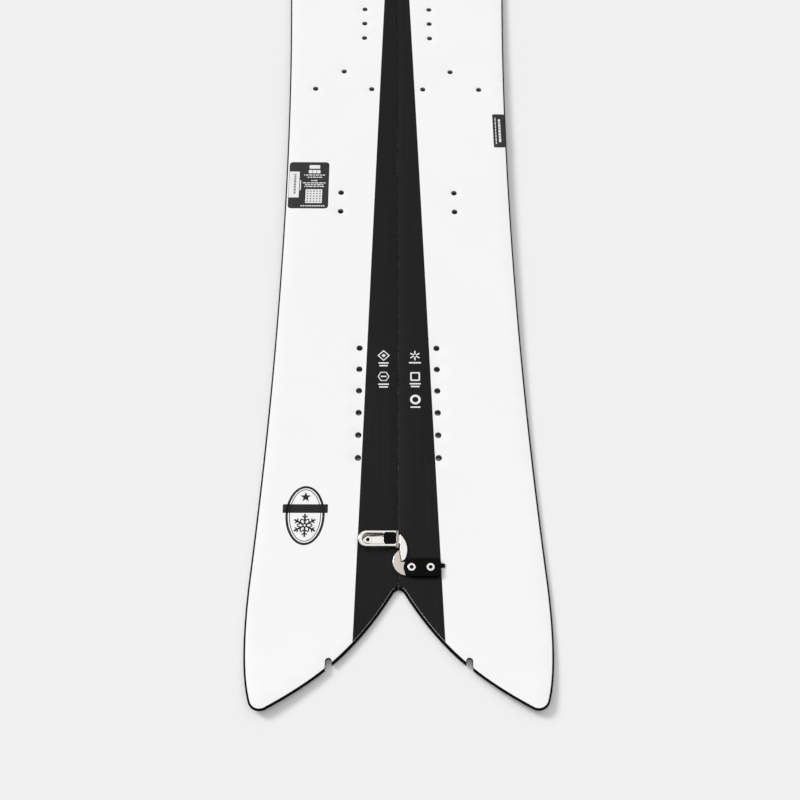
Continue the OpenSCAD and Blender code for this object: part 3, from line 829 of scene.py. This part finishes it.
def inserts(b, group):
    places = INSERT_GROUPS[group]
    foot_lift = BASE_T + 0.1
    top_lift = CORE_FLOOR - 0.2 + min(float(core_t(y)) for _, y in places)
    for x, y in places:
        base = float(base_z(y))
        add_lathe(b, (x, y), insert_profile(base + foot_lift, base + top_lift))


# -------- prints and stickers

LABEL_T = 0.15
INK_T = 0.03


def bar(x0, y0, x1, y1, r=0.15):
    return rect_loop(x0, y0, x1, y1, r, 2)


def label_corners(node, side):
    """A sticker's low and high corners, measured outwards from the seam."""
    low, high = node_box(node)
    xs = sorted((side * low[0], side * high[0]))
    return (xs[0], low[1]), (xs[1], high[1])


SPEC_LOW, SPEC_HIGH = label_corners("spec_label", LEFT)
EDGE_LABEL_LOW, EDGE_LABEL_HIGH = label_corners("edge_label", RIGHT)


def sticker(b, low, high, r):
    add_solid(b, rect_loop(*low, *high, r, 10), [], level(DECK_FLOOR, 1),
              level(DECK_FLOOR + LABEL_T, 1), rim=0.05, grid=9.0)


def print_on(side, name, shapes, material, floor=DECK_FLOOR, slot_name="label_print"):
    """One piece of ink over the deck or a sticker, of several (outer, holes) shapes in the board's
    own coordinates."""
    b = Builder()
    for outer, holes in shapes:
        add_solid(b, outer, holes, level(floor, 1), level(floor + INK_T, 1), rim=0)
    b.make(name, f"{SIDES[side]}_half", slot_name, material)


def mirrored(shapes):
    """Shapes drawn for the right ski, on the left one."""
    flip = np.array([-1, 1])
    return [(np.asarray(outer) * flip, [np.asarray(hole) * flip for hole in holes])
            for outer, holes in shapes]


def solid_shapes(loops):
    return [(loop, []) for loop in loops]


def spec_label_print():
    """Plain bars, a tag and a patch of dots, placed from the label's upper inner corner."""
    inner, top = SPEC_LOW[0], SPEC_HIGH[1]
    outer = SPEC_HIGH[0]
    middle = inner + 17.0
    tag = bar(outer - 12.2, top - 51.4, outer - 0.4, top - 14.0, 0.4)
    white = [tag, bar(outer - 14.2, top - 41.0, outer - 13.0, top - 26.5)]
    white += [bar(middle - 6.2, top - 9.6, middle + 6.2, top - 4.4, 0.8)]
    blocks = [middle - 6.8 + 4.7 * i for i in range(3)]
    white += [bar(x, top - 16.4, x + 4.2, top - 11.6, 0.4) for x in blocks]
    rows = (19.6, 12.2), (22.8, 8.8), (27.6, 3.6), (31.0, 13.2), (33.6, 10.6), (36.2, 11.4)
    for drop, half in rows:
        x = middle - half
        while x < middle + half:
            end = min(middle + half, x + random.uniform(2.0, 5.0))
            white.append(bar(x, top - drop, end, top - drop + 1.3, 0.3))
            x = end + 0.8
    patch = bar(middle - 9.6, top - 59.2, middle + 9.6, top - 39.6, 0.8)
    foot_xs = [middle - 13 + 2.6 * i for i in range(11)]
    feet = [bar(x, top - 64.0, x + 1.8, top - 62.4, 0.3) for x in foot_xs]
    shapes = solid_shapes(white + [patch] + feet)
    print_on(LEFT, "spec_label_print", mirrored(shapes), WHITE_INK, DECK_FLOOR + LABEL_T)
    dots = [(middle - 7.2 + 3.6 * i, top - 56.6 + 3.6 * j) for i in range(5) for j in range(5)]
    marks = [circle(dot, 1.1, 14) for dot in dots]
    y = top - 17.5
    while y > top - 45:
        end = y - random.uniform(2.0, 4.5)
        marks.append(bar(outer - 8.4, end, outer - 6.0, y, 0.3))
        y = end - 0.8
    print_on(LEFT, "spec_label_marks", mirrored(solid_shapes(marks)), GREY_INK,
             DECK_FLOOR + LABEL_T + INK_T)


def edge_label_print():
    """Two lengthwise columns of plain bars."""
    x0, y0 = EDGE_LABEL_LOW
    y1 = EDGE_LABEL_HIGH[1]
    bars = []
    for x, width, low, high in ((x0 + 2.6, 1.1, y0 + 5, y1 - 5), (x0 + 6.6, 2.6, y0 + 8, y1 - 8)):
        y = low
        while y < high:
            end = min(high, y + random.uniform(2.2, 5.6))
            bars.append(bar(x, y, x + width, end, 0.25))
            y = end + 0.9
    print_on(RIGHT, "edge_label_print", solid_shapes(bars), WHITE_INK, DECK_FLOOR + LABEL_T)


EMBLEM_CENTRE = np.array([-93.0, -571.0])
EMBLEM_HALF = np.array([19.5, 31.0])


def ellipse(centre, half, n=64):
    return np.array(centre) + np.array(half) * circle((0, 0), 1, n)


def spoke(centre, angle, start, end, width):
    """A thin bar along a ray from the centre."""
    along, across = heading(angle), heading(angle + 90) * width / 2
    near, far = centre + along * start, centre + along * end
    return np.array([near - across, far - across, far + across, near + across])


def star_points(centre, r, count, inner):
    angles = [90 + 180 * i / count for i in range(2 * count)]
    reaches = [r, r * inner] * count
    return np.array([centre + reach * heading(a) for reach, a in zip(reaches, angles)])


def emblem():
    """An oval frame with a star over a blank banner and a snow crystal under it."""
    c = EMBLEM_CENTRE
    shapes = [
        (ellipse(c, EMBLEM_HALF), [ellipse(c, EMBLEM_HALF - 2.4)]),
        (ellipse(c, EMBLEM_HALF - 3.6), [ellipse(c, EMBLEM_HALF - 4.4)]),
    ]
    crystal = c + np.array([0, -10.5])
    for k in range(6):
        a = 90 + 60 * k
        shapes.append((spoke(crystal, a, 1.6, 12.0, 1.8), []))
        for along, reach in ((4.6, 4.2), (8.0, 3.2)):
            root = crystal + along * heading(a)
            for turn in (-58, 58):
                shapes.append((spoke(root, a + turn, 0.9, reach, 1.3), []))
    shapes.append((circle(crystal, 2.4, 6), [circle(crystal, 1.2, 6)]))
    banner = c + np.array([0, 7.0])
    shapes.append((bar(banner[0] - 22.5, banner[1] - 4.6, banner[0] + 22.5, banner[1] + 4.6, 0.6), []))
    shapes.append((star_points(banner + np.array([0, 12.2]), 5.6, 5, 0.42), []))
    print_on(LEFT, "emblem_print", shapes, BLACK_INK)


ICON_LEFT_X, ICON_RIGHT_X = -15.5, 18.0
ICON_TOP_Y, ICON_MIDDLE_Y, ICON_LOW_Y = -391.0, -416.0, -443.0


def caption_bars(centre, drop, halves):
    """Short bars under an icon, one under the other."""
    x, y = centre
    tops = [y - drop - 3.2 * i for i in range(len(halves))]
    return [(bar(x - half, top - 1.6, x + half, top), []) for half, top in zip(halves, tops)]


def square_loop(centre, half, r):
    return rect_loop(*(centre - half), *(centre + half), r, 4)


def stripe_icons():
    """Small plain shapes with bars under them, in two columns on the stripe."""
    diamond, cell = np.array([ICON_LEFT_X, ICON_TOP_Y]), np.array([ICON_LEFT_X, ICON_MIDDLE_Y])
    crystal, square = np.array([ICON_RIGHT_X, ICON_TOP_Y]), np.array([ICON_RIGHT_X, ICON_MIDDLE_Y])
    ring = np.array([ICON_RIGHT_X, ICON_LOW_Y])
    on_left = [(circle(diamond, 6.6, 4), [circle(diamond, 5.0, 4)]), (circle(diamond, 2.2, 4), []),
               (circle(cell, 6.2, 6), [circle(cell, 5.1, 6)]), (bar(-3, -0.7, 3, 0.7) + cell, [])]
    on_left += caption_bars(diamond, 8.2, (5.4, 4.4)) + caption_bars(cell, 8.4, (5.6, 4.6))
    on_right = [(spoke(crystal, 30 + 60 * k, 1.4, 5.6, 1.4), []) for k in range(6)]
    on_right += [(square_loop(square, 5.2, 1.2), [square_loop(square, 3.6, 0.6)]),
                 (circle(ring, 5.6, 40), [circle(ring, 3.2, 30)])]
    on_right += caption_bars(crystal, 7.8, (6.4,)) + caption_bars(square, 7.8, (5.8, 4.6))
    on_right += caption_bars(ring, 8.0, (5.2,))
    for side, shapes in ((LEFT, on_left), (RIGHT, on_right)):
        print_on(side, f"stripe_icons_{SIDES[side]}", shapes, WHITE_INK, DECK_FLOOR, "topsheet_plastic")


# -------- clips, about a latch's centre

HINGE_PLACE = JOINTS["tail_lever_turn"]["pos_m"]
HINGE = np.array([HINGE_PLACE[0] / MM, HINGE_PLACE[2] / MM - DECK_Z])
PIN_R = 0.75
LATCH_T = 1.0
LATCH_HALF_W = 5.7
LATCH_LEFT_X = -31.5
CHEEK_T = 1.3
PLATE_LOW, PLATE_TOP = 5.9, 7.2
LEVER_OUTER, LEVER_INNER = 8.2, 6.0
LEVER_LEFT_X, LEVER_RIGHT_X = -31.4, -2.2
WINDOW_LEFT_X, WINDOW_RIGHT_X, WINDOW_HALF_W = -30.1, -15.0, 5.4
HOOK_LOW, HOOK_TOP = 1.3, 3.0
MEETING = np.array([1.0, -11.25])
MEETING_GAP = 0.25
MEETING_SLOPE = math.tan(math.radians(8))
SCREW_HEAD_R, SCREW_HEAD_T = 3.9, 1.6
SCREW_R, SCREW_END = 1.95, -3.7
SOCKET_R, SOCKET_DEPTH = 2.0, 1.1
STRIKE_SEAT = 3.6
PIN_HEAD_R, PIN_HEAD_IN, PIN_HEAD_OUT = 1.2, 8.3, 8.7


def meeting_x(y):
    return MEETING[0] + (MEETING[1] - y) * MEETING_SLOPE


def clip_builder(end):
    return Builder((0, CLIP_YS[end], DECK_Z))


def finish_clip(b, end, name, body, slot_name):
    b.make(f"{end}_{name}_look", body, slot_name, MATERIALS[slot_name], [f"{end}_{name}"], 30)


def clip_piece(end, part, body, slot_name):
    """Makes one piece of a clip, named after its function, in its CAD node's place."""
    b = clip_builder(end)
    part(b)
    finish_clip(b, end, part.__name__, body, slot_name)


def standing_plate(b, outline, holes, y_low, y_high, rim=0.2):
    """A plate across the board, drawn in X and Z, between two places along Y."""
    add_solid(b, outline, holes, flat(-y_high), flat(-y_low), rim=rim, foot=rim, place=upright)


def capsule_left(left_x, right_x, half_w, corner_r):
    """A strip with a round left end and two small corners at its right end."""
    round_end = arc_run((left_x, 0), half_w, 90, 270, 28)
    square_end = rounded_loop([(left_x, -half_w, 0), (right_x, -half_w, corner_r),
                               (right_x, half_w, corner_r), (left_x, half_w, 0)], 5)
    return np.array(list(square_end) + round_end[:-1])


def latch_base(b):
    holes = [circle(place, SCREW_HOLE_R, 32) for place in LATCH_SCREWS]
    add_solid(b, capsule_left(LATCH_LEFT_X, -0.5, LATCH_HALF_W, 0.3), holes, flat(0), flat(LATCH_T),
              rim=0.25)
    cheek_r = 1.9
    cheek = np.array([(HINGE[0] - 5, LATCH_T / 2), (-0.5, LATCH_T / 2), (HINGE[0] + cheek_r, HINGE[1])]
                     + arc_run(HINGE, cheek_r, 0, 180, 14))
    for low, high in ((LATCH_HALF_W - CHEEK_T, LATCH_HALF_W), (-LATCH_HALF_W, CHEEK_T - LATCH_HALF_W)):
        standing_plate(b, cheek, [circle(HINGE, PIN_R, 20)], low, high, 0.15)


def add_screw(b, centre, seat):
    """A low-head screw with a hexagonal socket."""
    socket = circle(centre, SOCKET_R, 6)
    head = circle(centre, SCREW_HEAD_R, 44)
    floor = seat + SCREW_HEAD_T - SOCKET_DEPTH
    add_solid(b, head, [socket], flat(floor), flat(seat + SCREW_HEAD_T), rim=0.3)
    add_solid(b, head, [], flat(seat), flat(floor), rim=0)
    add_solid(b, circle(centre, SCREW_R, 24), [], flat(SCREW_END), flat(seat), rim=0)


def screws(end, name, body, places, seat):
    """The screws of one fixing, and near-black sheets in their sockets, painted shade, as a piece of its
    own.
    """
    heads, shade_sheets = clip_builder(end), clip_builder(end)
    top = seat + SCREW_HEAD_T
    floor = top - SOCKET_DEPTH
    for centre in places:
        add_screw(heads, centre, seat)
        # Each socket's walls and floor get a near-black sheet: painted shade in the socket.
        outside, inside = circle(centre, SOCKET_R - 0.01, 6), circle(centre, SOCKET_R - 0.12, 6)
        add_solid(shade_sheets, outside, [inside], flat(floor + 0.1), flat(top - 0.25), rim=0)
        add_solid(shade_sheets, outside, [], flat(floor + 0.02), flat(floor + 0.1), rim=0)
    finish_clip(heads, end, name, body, "bright_steel")
    shade_sheets.make(f"{end}_{name}_sockets", body, "insert_steel", SOCKET_PAINTED_SHADE)


def hinge_pin(b):
    standing_plate(b, circle(HINGE, PIN_R, 24), [], -PIN_HEAD_IN, PIN_HEAD_IN, 0)
    for low, high in ((-PIN_HEAD_OUT, -PIN_HEAD_IN), (PIN_HEAD_IN, PIN_HEAD_OUT)):
        standing_plate(b, circle(HINGE, PIN_HEAD_R, 24), [], low, high, 0.12)


def lever(b):
    add_solid(b, capsule_left(LEVER_LEFT_X, LEVER_RIGHT_X, LEVER_OUTER, 1.2),
              [capsule_left(WINDOW_LEFT_X, WINDOW_RIGHT_X, WINDOW_HALF_W, 1.2)],
              flat(PLATE_LOW), flat(PLATE_TOP), rim=1.0, foot=0.2, steps=5)
    boss_r = 2.1
    inside_plate = PLATE_LOW + 0.4
    flange = np.array([(LEVER_RIGHT_X - 0.3, inside_plate), (-30.2, inside_plate),
                       (-30.2, PLATE_LOW - 0.1), (-24, 4.8), (-13, 3.4)]
                      + arc_run(HINGE, boss_r, -100, 40, 16))
    hole = circle(HINGE, PIN_R + 0.05, 20)
    for low, high in ((LEVER_INNER, LEVER_OUTER), (-LEVER_OUTER, -LEVER_INNER)):
        standing_plate(b, flange, [hole], low, high, 0.3)
    lip_outer = arc_run((LEVER_LEFT_X, 0), LEVER_OUTER - 0.15, 112, 248, 30)
    lip_inner = arc_run((LEVER_LEFT_X, 0), LEVER_OUTER - 1.2, 248, 112, 30)
    add_solid(b, np.array(lip_outer + lip_inner), [], flat(3.8), flat(inside_plate), rim=0, foot=0.3)


def lever_pad(b):
    half_w, left_x, right_x, corner_r, thickness = 6.1, -14.9, -2.4, 2.6, 1
    add_solid(b, rect_loop(left_x, -half_w, right_x, half_w, corner_r, 10), [], flat(PLATE_TOP),
              flat(PLATE_TOP + thickness), rim=0.6, steps=4)


def draw_hook(b):
    arc = circle((-12.9, -10.25), 21.5, 180)
    draw_end_y = -21.95
    region = [MEETING, (meeting_x(draw_end_y), draw_end_y), (3.6, draw_end_y), (12, -16.3), (12, 7),
              (MEETING[0], 7)]
    add_solid(b, clipped(region, arc), [], flat(HOOK_LOW), flat(HOOK_TOP), rim=0.8, foot=0.2, steps=5)
    low, top, half = LATCH_T + 0.05, HOOK_TOP, 4.0
    for x0, x1 in ((-6.1, -4.9), (0.0, 1.5)):
        add_solid(b, rect_loop(x0, -half, x1, half, 0, 1), [], flat(low), flat(top), rim=0.1)
    for y0 in (-half, 2.9):
        add_solid(b, rect_loop(-5.0, y0, 0.1, y0 + 1.1, 0, 1), [], flat(low), flat(1.9), rim=0)


def strike_hook(b):
    arc = circle((7.9, -22.45), 14.0, 180)
    throat_y, arm_x = -22.5, 6.8
    face_x = MEETING[0] - MEETING_GAP
    region = [(-8, 0), (-8, -40), (arm_x, -40), (arm_x, throat_y),
              (meeting_x(throat_y) - MEETING_GAP, throat_y), (face_x, MEETING[1]), (face_x, 0)]
    add_solid(b, clipped(region, arc), [], flat(HOOK_LOW), flat(HOOK_TOP), rim=0.8, foot=0.2, steps=5)
    holes = [circle(place, SCREW_HOLE_R, 32) for place in STRIKE_SCREWS]
    add_solid(b, rect_loop(6.5, STRIKE_DY - 5.8, 39, STRIKE_DY + 5.8, 0.4, 3), holes, flat(0),
              flat(HOOK_TOP), rim=0.15)


def strike_cover(b):
    half, left_x, right_x, corner_r, top = 9.0, 13.6, 41.1, 4.5, 4.8
    inner, wall_x, roof = 5.9, 39.1, HOOK_TOP + 0.05
    middle = np.array([0, STRIKE_DY])
    turn = math.degrees(math.asin(inner / half))
    rim_right = list(rounded_loop([(right_x, -half, corner_r), (right_x, half, corner_r),
                                   (left_x, half, 0), (left_x, -half, 0)], 8))
    right_side, last = rim_right[:-1], rim_right[-1:]
    outer = np.array(right_side + arc_run((left_x, 0), half, 90, 270, 40)[:-1] + last)
    skirt = np.array(right_side + arc_run((left_x, 0), half, 90, 180 - turn, 14)
                     + [np.array([wall_x, inner]), np.array([wall_x, -inner])]
                     + [np.array([left_x, 0]) + half * heading(180 + turn)]
                     + arc_run((left_x, 0), half, 180 + turn, 270, 14)[:-1] + last)
    add_solid(b, skirt + middle, [], flat(0), flat(roof), rim=0)
    small = [circle(place, SCREW_HOLE_R, 32) for place in STRIKE_SCREWS]
    large = [circle(place, SCREW_HEAD_R + 0.15, 44) for place in STRIKE_SCREWS]
    add_solid(b, outer + middle, small, flat(roof), flat(STRIKE_SEAT), rim=0)
    add_solid(b, outer + middle, large, flat(STRIKE_SEAT), flat(top), rim=0.5, steps=4)
    tab_right_x, tab_low, tab_high, tab_t = 45, STRIKE_DY + 0.5, STRIKE_DY + 4.5, 1.6
    add_solid(b, rect_loop(right_x - 0.5, tab_low, tab_right_x, tab_high, 0.6, 4), [], flat(0),
              flat(tab_t), rim=0.3)


def kept_cad_nodes():
    """Inner layers and hidden pieces are shown as the CAD has them, with their own materials."""
    kept = {
        "glass_fibre": ["lower_laminate", "upper_laminate"],
        "core_wood": ["core"],
        "edge_steel": ["inner_edge"],
        "sidewall_plastic": ["inner_sidewall"],
        "insert_steel": ["clip_inserts"],
    }
    names = {f"{side}_{node}": slot_name for slot_name, nodes in kept.items() for node in nodes
             for side in SIDES.values()}
    names.update({f"{end}_cam": "bright_steel" for end in CLIP_YS})
    for node, slot_name in names.items():
        piece = frame["nodes"][node]
        piece.data.materials.clear()
        piece.data.materials.append(MATERIALS[slot_name])
        piece.data.shade_smooth()
        piece.data.set_sharp_from_angle(angle=math.radians(25))


# -------- studio

CAMERA_PLACE = Vector((-12.5, -913.0, 957.5)) * MM
CAMERA_TILT = 0.459011
CAMERA_YAW = -0.030573
CAMERA_ROLL = 0.029985
CAMERA_LENS = 45.42


def add_camera():
    data = bpy.data.cameras.new("camera")
    data.lens = CAMERA_LENS
    data.sensor_width = 36
    data.clip_start = 0.05
    camera = add_object("camera", data)
    level_right = Vector((math.cos(CAMERA_YAW), math.sin(CAMERA_YAW), 0))
    reach = math.sin(CAMERA_TILT)
    forward = Vector((-level_right.y * reach, level_right.x * reach, -math.cos(CAMERA_TILT)))
    level_up = level_right.cross(forward)
    right = level_right * math.cos(CAMERA_ROLL) + level_up * math.sin(CAMERA_ROLL)
    up = level_up * math.cos(CAMERA_ROLL) - level_right * math.sin(CAMERA_ROLL)
    turn = Matrix((right, up, -forward)).transposed().to_4x4()
    camera.matrix_world = Matrix.Translation(CAMERA_PLACE) @ turn
    bpy.context.scene.camera = camera


FLOOR_HALF = 6.0
FLOOR_DROP = 0.0003


def add_floor():
    half, z = FLOOR_HALF, -FLOOR_DROP
    points = [(-half, -half, z), (half, -half, z), (half, half, z), (-half, half, z)]
    mesh = bpy.data.meshes.new("floor")
    mesh.from_pydata(points, [], [(0, 1, 2, 3)])
    s = Surface("floor_paper", (0.9, 0.9, 0.9), 0.9)
    cloud = s.noise(s.place(), 3.0)
    s.feed(s.inputs["Base Color"], s.mix(cloud, (0.865, 0.865, 0.865), (0.873, 0.873, 0.873)))
    mesh.materials.append(s.material)
    add_object("floor", mesh)


KEY_FROM = Vector((-0.62, 0.42, 0.66))
KEY_STRENGTH = 1.6
KEY_ANGLE = math.radians(20)


def add_key_light():
    """A soft light from the upper left, even over the whole floor."""
    data = bpy.data.lights.new("key", "SUN")
    data.energy = KEY_STRENGTH
    data.angle = KEY_ANGLE
    add_object("key", data).rotation_euler = KEY_FROM.to_track_quat("Z", "Y").to_euler()


ZENITH_LEVEL, HORIZON_LEVEL = 1.0, 0.04
SKY_DARK_BELOW, SKY_BRIGHT_ABOVE = 0.2, 0.9
BACKDROP_LEVEL = 0.84


def add_world():
    """A studio sky that darkens towards the horizon, in front of a pale backdrop."""
    world = bpy.data.worlds.new("studio")
    world.use_nodes = True
    graph = Graph(world.node_tree)
    parts = graph.node("SeparateXYZ", {"Vector": graph.node("TexCoord").outputs["Generated"]})
    sky = graph.spread(parts.outputs["Z"], HORIZON_LEVEL, ZENITH_LEVEL, SKY_DARK_BELOW,
                       SKY_BRIGHT_ABOVE)
    seen = graph.node("LightPath").outputs["Is Camera Ray"]
    strength = graph.node("Mix", {"Factor": seen, "A": sky, "B": BACKDROP_LEVEL}).outputs["Result"]
    background = graph.nodes["Background"]
    background.inputs["Color"].default_value = (1, 1, 1, 1)
    graph.feed(background.inputs["Strength"], strength)
    bpy.context.scene.world = world
    bpy.context.scene.view_settings.view_transform = "Standard"


add_camera()
add_floor()
add_world()
add_key_light()

for side, word in SIDES.items():
    ski_piece(side, f"{word}_base_sheet", "black_base", base_sheet)
    ski_piece(side, f"{word}_outer_edge", "edge_steel", outer_edge)
    for part in (outer_sidewall, vee_sidewall, nose_spacer):
        ski_piece(side, f"{word}_{part.__name__}", "sidewall_plastic", part)
    ski_piece(side, f"{word}_topsheet", "topsheet_plastic", topsheet, side)
    for group in INSERT_GROUPS:
        ski_piece(side, f"{word}_{group}", "insert_steel", inserts, group)
ski_piece(LEFT, "spec_label", "label_print", sticker, SPEC_LOW, SPEC_HIGH, 4.0)
ski_piece(RIGHT, "edge_label", "label_print", sticker, EDGE_LABEL_LOW, EDGE_LABEL_HIGH, 1.5)
spec_label_print()
edge_label_print()
emblem()
stripe_icons()
for end in CLIP_YS:
    clip_piece(end, latch_base, "left_half", "bright_steel")
    screws(end, "latch_screws", "left_half", LATCH_SCREWS, LATCH_T)
    clip_piece(end, hinge_pin, "left_half", "bright_steel")
    clip_piece(end, lever, f"{end}_lever_body", "bright_steel")
    clip_piece(end, lever_pad, f"{end}_lever_body", "black_plastic")
    clip_piece(end, draw_hook, f"{end}_draw_hook_body", "bright_steel")
    clip_piece(end, strike_hook, "right_half", "grey_steel")
    clip_piece(end, strike_cover, "right_half", "black_plastic")
    screws(end, "strike_screws", "right_half", STRIKE_SCREWS, STRIKE_SEAT)
kept_cad_nodes()
